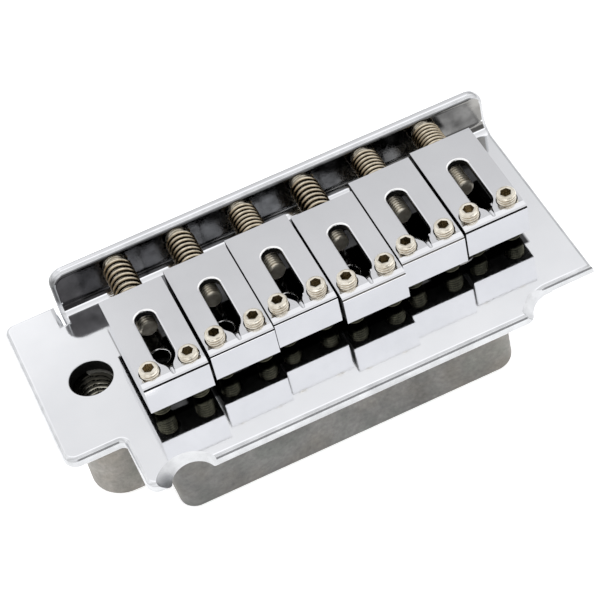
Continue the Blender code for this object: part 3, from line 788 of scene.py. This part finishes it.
cuts.append(rimmed(ARM_R, *ARM_C, 56))
cuts.append(joined([rimmed(STRING_PLATE_R, x, STRING_Y, 28) for x in STRING_X]))
sinks = []
for x in STRING_X:
    e = 0.12
    back = LIP_INNER + PLATE_T
    profile = [(LIP_HOLE_R + e, LIP_INNER - 1.0), (LIP_HOLE_R + e, LIP_INNER), (LIP_HOLE_R, LIP_INNER + e), (LIP_HOLE_R, SINK_Y)]
    profile += [(SINK_R, SINK_Y), (SINK_R, back - e), (SINK_R + e, back), (SINK_R + e, back + 1.0)]
    sink = turned(profile, 32, x, -SCREW_Z)
    bmesh.ops.rotate(sink, verts=sink.verts, matrix=Matrix.Rotation(math.radians(-90), 3, "X"))
    sinks.append(sink)
cuts.append(joined(sinks))
plate = carved(plate, cuts)
for face in plate.faces:
    middle = face.calc_center_median()
    face.normal_update()
    on_lip = middle.y > BEND_Y and LIP_LEFT + 0.75 < middle.x < X_RIGHT - 0.75
    # the lip's inner face gets the lip's painted shade
    if on_lip and face.normal.y < -0.8 and middle.y < LIP_INNER + 0.4 and middle.z > BEND_R - 0.1:
        face.material_index = 1
    elif on_lip and face.normal.y < -0.68 and middle.y < LIP_INNER and middle.z > 0.2:
        face.material_index = 1
    # the arm hole's wall: painted shade
    elif math.hypot(middle.x - ARM_C[0], middle.y - ARM_C[1]) < ARM_R + 0.03 and -PLATE_T + 0.1 < middle.z < -0.1:
        face.material_index = 2
    elif face.normal.z < -0.98 or (on_lip and face.normal.y > 0.9 and middle.z < LIP_TOP - 0.5):
        face.material_index = 0
    elif middle.y > BEND_Y - 1.6 and LIP_LEFT - SLIT - 1.1 < middle.x < LIP_LEFT - SLIT + 0.02:
        face.material_index = 0
    # the string holes' rims: painted highlight
    elif face.normal.z > 0.15 and middle.z > -HOLE_EDGE - 0.02 and any(math.hypot(middle.x - x, middle.y - STRING_Y) < STRING_PLATE_R + HOLE_EDGE + 0.03 for x in STRING_X) and face.normal.z < 0.99:
        face.material_index = 4
    # the plate's edges, whose material carries painted shade by facing
    elif face.normal.z < 0.985 and not (on_lip and 0.02 < middle.z < BEND_R and face.normal.y < -0.05) and not any(math.hypot(middle.x - x, middle.y - STRING_Y) < 2.2 for x in STRING_X):
        face.material_index = 3
stands_for(placed(plate, "plate_body", [plate_look, lip_shade_look, inside_shade_look, edge_look, rim_highlight_look], 32.0), "base_plate", "bridge")

# ---------------------------------------------------------------- sustain block
corner = (22.10, BLOCK_Y0 + 3.6)
outline = arc((BLOCK_X0 + 2.7, BLOCK_Y0 + 2.7), 2.7, 180, 270, 14)
outline += arc(corner, 3.6, -90, -18.7, 14)
outline += [(BLOCK_X1, 23.0)]
outline += arc((BLOCK_X1 - 3.0, BLOCK_Y1 - 3.0), 3.0, 0, 90, 14)
outline += arc((LOBE_C[0], BLOCK_Y1 - LOBE_R), LOBE_R, 90, 270, 40)
outline += arc((BLOCK_X0 - 1.5, LOBE_C[1] - LOBE_R - 1.5), 1.5, 90, 0, 8)
block = prism([outline], BLOCK_BOTTOM, BLOCK_TOP, BLOCK_EDGE, 3)

steps = 40
rows = int((0.4 - (BLOCK_TOP - BLOCK_TOP) + (BLOCK_TOP - ARM_BORE_END)) / (ARM_THREAD_PITCH / 8))
rings = []
for i in range(rows + 1):
    height = ARM_BORE_END + i * ARM_THREAD_PITCH / 8
    ring, _ = thread_ring(ARM_THREAD_R, ARM_THREAD_DEPTH, ARM_THREAD_PITCH, height, steps)
    rings.append(ring)
bore = stacked(rings)
bmesh.ops.translate(bore, vec=(*ARM_C, 0.0), verts=bore.verts)
cuts = [bore]
for x in STRING_X:
    cuts.append(turned([(BALL_R, -24.0), (BALL_R, BALL_TOP), (STRING_R, BALL_TOP + 0.8), (STRING_R, 0.0)], 24, x, STRING_Y))
for x in SPRING_HOLE_X:
    cuts.append(turned([(SPRING_HOLE_R, -24.0), (SPRING_HOLE_R, SPRING_HOLE_TOP), (0.0, SPRING_HOLE_TOP + 0.9)], 24, x, SPRING_HOLE_Y))
for x in BLOCK_SCREW_X:
    r = BLOCK_SCREW_R + FIT
    cuts.append(turned([(0.0, BLOCK_SCREW_END - 1.3), (r, BLOCK_SCREW_END - FIT), (r, 0.0)], 24, x, BLOCK_SCREW_Y))
block = carved(block, [cuts[0], joined(cuts[1:7]), joined(cuts[7:12]), joined(cuts[12:])])
for face in block.faces:
    middle = face.calc_center_median()
    if math.hypot(middle.x - ARM_C[0], middle.y - ARM_C[1]) < ARM_THREAD_R + 0.05:
        face.material_index = 1
stands_for(placed(block, "block_body", [cast_look, bore_look], 30.0), "tremolo_block", "bridge")

# ---------------------------------------------------------------- block screws
for n, x in enumerate(BLOCK_SCREW_X, 1):
    rings, grooves = [], []
    end = BLOCK_SCREW_END - 0.9
    neck = -0.35 - (BLOCK_SCREW_HEAD_R - BLOCK_SCREW_R)
    rings.append([(0.9 * c, 0.9 * s, end) for c, s in unit_circle(24)])
    grooves.append([0.0] * 24)
    height = end + 0.5
    while height < neck - 0.4:
        fade = min(1.0, (height - end) / 0.9, (neck - height) / 0.8)
        ring, groove = thread_ring(BLOCK_SCREW_R, 0.34, 0.7, height, 24, max(fade, 0.0))
        rings.append(ring)
        grooves.append(groove)
        height += 0.7 / 6
    for r, h in ((BLOCK_SCREW_R, neck), (BLOCK_SCREW_HEAD_R, -0.35), (BLOCK_SCREW_HEAD_R, -0.2), (BLOCK_SCREW_HEAD_R - 0.1, -0.1)):
        rings.append([(r * c, r * s, h) for c, s in unit_circle(24)])
        grooves.append([0.0] * 24)
    rings.append(cross(1.95, 0.42, -0.1, 24))
    rings.append(cross(1.2, 0.26, -1.5, 24))
    grooves += [[0.0] * 24, [0.9] * 24]
    screw = stacked(rings, grooves)
    bmesh.ops.translate(screw, vec=(x, BLOCK_SCREW_Y, 0.0), verts=screw.verts)
    stands_for(placed(screw, f"plate_screw_{n}", [steel_look], 40.0), f"block_screw_{n}", "bridge")

# ---------------------------------------------------------------- saddles
for n, (cx, yf, top) in enumerate(SADDLES, 1):
    w = SADDLE_W / 2
    bottom = top - SADDLE_H
    x_screw = STRING_X[n - 1]

    # its side: an upright front, a rounded front edge, and a strip behind it that leans down a little
    r = SADDLE_FRONT_R
    lean = math.atan2(BROW_DROP, BROW)
    edge_y, edge_z = yf + r, top - BROW_DROP * (BROW - r) / BROW - r / math.cos(lean)
    side = [(yf + SADDLE_L, bottom), (yf + SADDLE_L, top), (yf + BROW, top)]
    side += [(edge_y - r * math.sin(a), edge_z + r * math.cos(a)) for a in (lean + (math.pi / 2 - lean) * i / 9 for i in range(10))]
    side += [(yf + 0.18, bottom)]
    body = prism_x(side[::-1], cx - w, cx + w)

    inner = w - RIM
    half = WINDOW_W / 2
    cuts = [box(cx - inner, cx + inner, yf + NOSE, yf + SADDLE_L - REAR_WALL, bottom - 2.0, top - TOP_WALL)]
    window = [(cx - half, yf + WINDOW_Y0), (cx + half, yf + WINDOW_Y0)] + arc((cx, yf + WINDOW_Y1 - half), half, 0, 180, 20)
    rings = []
    for z, grow in ((top - TOP_WALL - 1.0, 0.0), (top - WINDOW_EDGE, 0.0), (top - WINDOW_EDGE * 0.62, 0.02), (top - WINDOW_EDGE * 0.29, 0.08), (top - WINDOW_EDGE * 0.08, 0.17), (top, WINDOW_EDGE), (top + 0.3, WINDOW_EDGE + 1.1)):
        g = half + grow
        ring = [(cx - g, yf + WINDOW_Y0, z), (cx + g, yf + WINDOW_Y0, z)]
        ring += [(a, b, z) for a, b in arc((cx, yf + WINDOW_Y1 - half), g, 0, 180, 24)]
        rings.append(ring)
    cuts.append(stacked(rings))
    # the string's way out over the front: a groove that widens and falls in a smooth curve into the window
    rings = []
    for y, wide, deep in SPOUT:
        ring = [(cx - wide, yf + y, top + 0.8), (cx - wide, yf + y, top + 0.01)]
        ring += [(cx - wide * math.cos(a), yf + y, top - deep * math.sin(a) ** 0.8) for a in (math.pi * i / 14 for i in range(1, 14))]
        ring += [(cx + wide, yf + y, top + 0.01), (cx + wide, yf + y, top + 0.8)]
        rings.append(ring)
    cuts.append(stacked(rings))
    cuts.append(joined([cylinder(cx + s * HEIGHT_DX, yf + HEIGHT_DY, HEIGHT_HOLE_R, bottom - 1.0, top + 1.0, 32) for s in (-1, 1)]))
    arch = [(x_screw - REAR_HOLE_R, bottom - 1.0), (x_screw + REAR_HOLE_R, bottom - 1.0)] + arc((x_screw, SCREW_Z), REAR_HOLE_R, 0, 180, 16)
    cuts.append(prism_y(arch, yf + SADDLE_L - REAR_WALL - 1.0, yf + SADDLE_L + 1.0))
    body = softened(carved(body, cuts), SADDLE_EDGE, 2, 40.0)
    for face in body.faces:
        middle = face.calc_center_median()
        face.normal_update()
        dx, dy = abs(middle.x - cx), middle.y - yf
        within = dx < inner + 0.05 and NOSE - 0.1 < dy < SADDLE_L - REAR_WALL + 0.1
        drilled = any(math.hypot(middle.x - cx - s * HEIGHT_DX, dy - HEIGHT_DY) < HEIGHT_HOLE_R + 0.05 for s in (-1, 1))
        # painted shade: near black on the inside, the underside, the drilled holes and the sides between saddles
        if within and face.normal.y < -0.8 and dy > SADDLE_L - REAR_WALL - 0.2 and middle.z < top - TOP_WALL:
            face.material_index = 1
        # the first saddle's left side: painted shade
        elif n == 1 and face.normal.x < -0.8 and dx > w - 0.1:
            face.material_index = 2
        elif face.normal.z < -0.5 or (within and middle.z < top - TOP_WALL + 0.05) or (drilled and middle.z < top - 0.4):
            face.material_index = 1
        elif within and middle.z < top - WINDOW_EDGE and face.normal.z < 0.5:
            face.material_index = 1
        # the window's rear rim: painted highlight
        elif face.normal.z > 0.12 and middle.z > top - WINDOW_EDGE - 0.01 and middle.z < top - 0.005 and dy > WINDOW_Y1 - 3.0 and dx < half + WINDOW_EDGE + 0.02 and dy < WINDOW_Y1 + WINDOW_EDGE + 0.05:
            face.material_index = 4
        # the rounded front edge: painted dark reflection
        elif (-0.975 if n in (1, 6) else -0.94) < face.normal.y < -0.72 and dy < r and dx < w - 0.05 and middle.z > edge_z:
            face.material_index = 5 if n in (4, 5) else 3
        elif (face.normal.x > 0.8 and dx > w - 0.1 and n < 6) or (face.normal.x < -0.8 and dx > w - 0.1 and n > 1):
            face.material_index = 1
    saddle = placed(body, f"string_saddle_{n}", [saddle_look, inside_shade_look, shaded_side_look, brow_reflection_look, rim_highlight_look, soft_brow_reflection_look], 32.0)
    line = (yf + BROW - ORIGIN_Y) * MM
    points = saddle.data.vertices
    for edge in saddle.data.edges:
        if all(abs(points[v].co.y - line) < 2e-5 and points[v].co.z > (top - 0.1) * MM for v in edge.vertices):
            edge.use_edge_sharp = True
    stands_for(saddle, f"saddle_{n}", f"saddle_{n}")

    # two height screws: threaded, with a hexagon socket
    for letter, s in (("a", -1), ("b", 1)):
        gx, gy = cx + s * HEIGHT_DX, yf + HEIGHT_DY
        rings, grooves = [], []
        ring = [(0.75 * c, 0.75 * t, GRUB_Z0) for c, t in unit_circle(24)]
        rings.append(ring)
        grooves.append([0.3] * 24)
        height = GRUB_Z0 + 0.62
        while height < GRUB_Z1 - 0.3:
            fade = min(1.0, (height - GRUB_Z0) / 0.9, (GRUB_Z1 + 0.05 - height) / 0.5)
            ring, groove = thread_ring(GRUB_R, THREAD_DEPTH, THREAD_PITCH, height, 24, fade)
            rings.append(ring)
            grooves.append(groove)
            height += THREAD_PITCH / 8
        for r, h, g in ((GRUB_R - 0.05, GRUB_Z1 - 0.24, 0.1), (GRUB_R - 0.16, GRUB_Z1 - 0.08, 0.0), (GRUB_R - 0.3, GRUB_Z1, 0.0), (HEX_R + 0.16, GRUB_Z1, 0.0)):
            rings.append([(r * c, r * t, h) for c, t in unit_circle(24)])
            grooves.append([g] * 24)
        for r, h, g in ((HEX_R + 0.04, GRUB_Z1 - 0.04, 0.1), (HEX_R, GRUB_Z1 - 0.12, 0.5), (HEX_R, GRUB_Z1 - HEX_DEPTH, 1.0), (HEX_R * 0.8, GRUB_Z1 - HEX_DEPTH - 0.15, 1.0)):
            rings.append(hexagon(r, h, 24))
            grooves.append([g] * 24)
        grub = stacked(rings, grooves, tip_high=GRUB_Z1 - HEX_DEPTH - 0.45)
        for face in grub.faces:
            middle = face.calc_center_median()
            # the socket's walls: painted shade and glints
            if middle.z < GRUB_Z1 - 0.15 and math.hypot(middle.x, middle.y) < HEX_R + 0.02 and middle.z > GRUB_Z1 - HEX_DEPTH - 1.0:
                face.material_index = 1
            elif middle.z < bottom + 0.4:
                face.material_index = 2
        turn = Matrix.Rotation(math.radians((37 * n + (19 if letter == "b" else 0)) % 60), 3, "Z")
        bmesh.ops.rotate(grub, verts=grub.verts, matrix=turn)
        bmesh.ops.translate(grub, vec=(gx, gy, 0.0), verts=grub.verts)
        name = f"height_screw_{n}{letter}"
        stands_for(placed(grub, f"grub_screw_{n}{letter}", [nickel_look, socket_shade_look, shade_look], 50.0), name, name)

    # the intonation screw: threaded as far as the lip, with a cross recess in its head
    rings, grooves = [], []
    rings.append([((SCREW_R - 0.45) * c, (SCREW_R - 0.45) * t, SCREW_TIP) for c, t in unit_circle(24)])
    grooves.append([0.0] * 24)
    height = SCREW_TIP + 0.22
    while height < HEAD_Y0 - 0.5:
        fade = min(1.0, (height - SCREW_TIP) / 0.7, (HEAD_Y0 - height) / 0.9)
        ring, groove = thread_ring(SCREW_R, THREAD_DEPTH, THREAD_PITCH, height, 24, fade)
        rings.append(ring)
        grooves.append(groove)
        height += THREAD_PITCH / 8
    for r, h in ((SCREW_R, HEAD_Y0 - 0.15), (SCREW_R, HEAD_Y0), (HEAD_R, HEAD_Y0), (HEAD_R, HEAD_Y0 + HEAD_H - 0.3), (HEAD_R - 0.1, HEAD_Y0 + HEAD_H - 0.1), (HEAD_R - 0.3, HEAD_Y0 + HEAD_H)):
        rings.append([(r * c, r * t, h) for c, t in unit_circle(24)])
        grooves.append([0.0] * 24)
    rings.append(cross(CROSS_ARM, CROSS_W / 2, HEAD_Y0 + HEAD_H, 24))
    rings.append(cross(CROSS_ARM * 0.75, CROSS_W * 0.36, HEAD_Y0 + HEAD_H - CROSS_DEPTH, 24))
    grooves += [[0.1] * 24, [1.0] * 24]
    screw = stacked(rings, grooves)
    bmesh.ops.rotate(screw, verts=screw.verts, matrix=Matrix.Rotation(math.radians(17 * n), 3, "Z"))
    bmesh.ops.rotate(screw, verts=screw.verts, matrix=Matrix.Rotation(math.radians(-90), 3, "X"))
    bmesh.ops.translate(screw, vec=(x_screw, 0.0, SCREW_Z), verts=screw.verts)
    stands_for(placed(screw, f"length_screw_{n}", [thread_look], 50.0), f"intonation_screw_{n}", f"intonation_screw_{n}")

    # the coil spring, from its saddle's rear to the lip
    y0 = yf + SADDLE_L + FIT + WIRE_R
    y1 = LIP_INNER - FIT - WIRE_R
    per_turn, sides = 28, 12
    count = COIL_TURNS * per_turn
    coil = bmesh.new()
    layer = coil.verts.layers.float.new("groove")
    previous = None
    for i in range(count + 1):
        a = 2 * math.pi * i / per_turn
        middle = Vector((x_screw + COIL_R * math.cos(a), y0 + (y1 - y0) * i / count, SCREW_Z + COIL_R * math.sin(a)))
        out = Vector((math.cos(a), 0.0, math.sin(a)))
        along = Vector((-COIL_R * math.sin(a), (y1 - y0) / (2 * math.pi * COIL_TURNS), COIL_R * math.cos(a))).normalized()
        side = along.cross(out)
        row = []
        for k in range(sides):
            b = 2 * math.pi * k / sides
            vert = coil.verts.new(middle + out * (WIRE_R * math.cos(b)) + side * (WIRE_R * math.sin(b)))
            # for the painted shading: 0 on the coil's outer crest, up to 1 on its inner side
            vert[layer] = min(max((0.98 - math.cos(b)) / 0.95, 0.0), 1.0)
            row.append(vert)
        if previous:
            for k in range(sides):
                j = (k + 1) % sides
                coil.faces.new((previous[k], previous[j], row[j], row[k]))
        else:
            coil.faces.new(row[::-1])
        previous = row
    coil.faces.new(previous)
    spring = placed(coil, f"coil_spring_{n}", [spring_look], 60.0)
    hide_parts(f"intonation_spring_{n}")
    back = (yf + SADDLE_L - ORIGIN_Y) * MM
    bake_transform(spring)

# ---------------------------------------------------------------- floor
ground = bmesh.new()
bmesh.ops.create_grid(ground, x_segments=8, y_segments=8, size=1500.0)
bmesh.ops.translate(ground, vec=(0.0, ORIGIN_Y, BLOCK_BOTTOM - 0.02), verts=ground.verts)
floor = placed(ground, "floor", [floor_material()], 35.0, recalc=False)

# ---------------------------------------------------------------- light
world = bpy.data.worlds.new("studio")
scene.world = world
world.use_nodes = True
nodes, links = world.node_tree.nodes, world.node_tree.links
nodes.clear()


def math_node(operation, a, b=None, clamp=False):
    node = nodes.new("ShaderNodeMath")
    node.operation = operation
    node.use_clamp = clamp
    for i, value in enumerate((a, b)):
        if value is None:
            continue
        if isinstance(value, (int, float)):
            node.inputs[i].default_value = value
        else:
            links.new(value, node.inputs[i])
    return node.outputs[0]


direction = nodes.new("ShaderNodeTexCoord").outputs["Generated"]
split = nodes.new("ShaderNodeSeparateXYZ")
links.new(direction, split.inputs[0])
dx, dy, dz = split.outputs

def ramp_node(source, stops, low, high):
    """A float curve over source from low to high, through (source, value) stops with values up to 2."""
    node = nodes.new("ShaderNodeValToRGB")
    points = node.color_ramp.elements
    while len(points) < len(stops):
        points.new(0.5)
    for point, (at, value) in zip(points, stops):
        point.position = (at - low) / (high - low)
        point.color = (value / 2, value / 2, value / 2, 1.0)
    links.new(math_node("DIVIDE", math_node("SUBTRACT", source, low), high - low), node.inputs["Fac"])
    return math_node("MULTIPLY", node.outputs["Color"], 2.0)


# The studio as bands over the elevation in the y-z plane: 0 is the horizon behind the lip, 180 the horizon in front.
elevation = math_node("MULTIPLY", math_node("DIVIDE", math_node("ARCTAN2", dz, dy), math.pi), 180.0)
LEVELS = [(0, 0.62), (38, 0.66), (45.5, 0.735), (48, 0.80), (50.5, 0.93), (54, 0.98), (59, 1.05), (64, 1.14), (72, 1.14), (84, 1.0), (98, 0.90), (112, 0.82), (120, 0.86), (127, 1.15), (140, 1.20), (180, 1.0)]
level = ramp_node(elevation, LEVELS, 0.0, 180.0)
# straight behind the arm's side the studio is brighter low down
WING = [(0, 0.80), (44, 1.10), (45.6, 1.06), (47.6, 0.89), (49.5, 0.86), (53, 0.90), (60, 1.08), (180, 1.0)]
wing = ramp_node(elevation, WING, 0.0, 180.0)
beside = math_node("DIVIDE", math_node("SUBTRACT", 0.085, dx), 0.045, clamp=True)
behind = math_node("DIVIDE", math_node("SUBTRACT", 66.0, elevation), 8.0, clamp=True)
share = math_node("MULTIPLY", beside, behind)
level = math_node("ADD", math_node("MULTIPLY", level, math_node("SUBTRACT", 1.0, share)), math_node("MULTIPLY", wing, share))
# a dark band low in front, as of the room behind the camera
DARK = [(0, 0.0), (137, 0.0), (141, 0.68), (172, 0.68), (180, 0.4)]
dark = ramp_node(elevation, DARK, 0.0, 180.0)
span = math_node("MULTIPLY", math_node("DIVIDE", math_node("ADD", dx, 0.30), 0.15, clamp=True), math_node("DIVIDE", math_node("SUBTRACT", 0.62, dx), 0.15, clamp=True))
level = math_node("MULTIPLY", level, math_node("SUBTRACT", 1.0, math_node("MULTIPLY", dark, span)))

above = math_node("GREATER_THAN", dz, 0.0)
mixed = math_node("ADD", math_node("MULTIPLY", level, above), math_node("MULTIPLY", math_node("SUBTRACT", 1.0, above), 1.0))
color = nodes.new("ShaderNodeCombineColor")
links.new(mixed, color.inputs[0])
links.new(mixed, color.inputs[1])
links.new(math_node("MULTIPLY", mixed, 1.012), color.inputs[2])
background = nodes.new("ShaderNodeBackground")
links.new(color.outputs[0], background.inputs["Color"])
output = nodes.new("ShaderNodeOutputWorld")
links.new(background.outputs[0], output.inputs["Surface"])

# ---------------------------------------------------------------- camera
AZ, EL, ROLL = math.radians(-12.445), math.radians(47.174), math.radians(-14.731)
TARGET = Vector((-3.528, 21.241 - ORIGIN_Y, 0.0)) * MM
DISTANCE = 331.516 * MM
back = Vector((math.sin(AZ) * math.cos(EL), -math.cos(AZ) * math.cos(EL), math.sin(EL)))
right = (-back).cross(Vector((0.0, 0.0, 1.0))).normalized()
up = right.cross(-back)
right_rolled = right * math.cos(ROLL) + up * math.sin(ROLL)
up_rolled = up * math.cos(ROLL) - right * math.sin(ROLL)
pose = Matrix((right_rolled, up_rolled, back)).transposed().to_4x4()
pose.translation = TARGET + back * DISTANCE
lens = bpy.data.cameras.new("camera")
lens.sensor_width = 36.0
lens.sensor_height = 36.0
lens.lens = 132.0
lens.clip_start = 0.01
lens.clip_end = 10.0
camera = bpy.data.objects.new("camera", lens)
camera.matrix_world = pose
scene.collection.objects.link(camera)
scene.camera = camera

scene.view_settings.view_transform = "Standard"
scene.view_settings.look = "None"
scene.view_settings.exposure = 0.0
scene.view_settings.gamma = 1.0
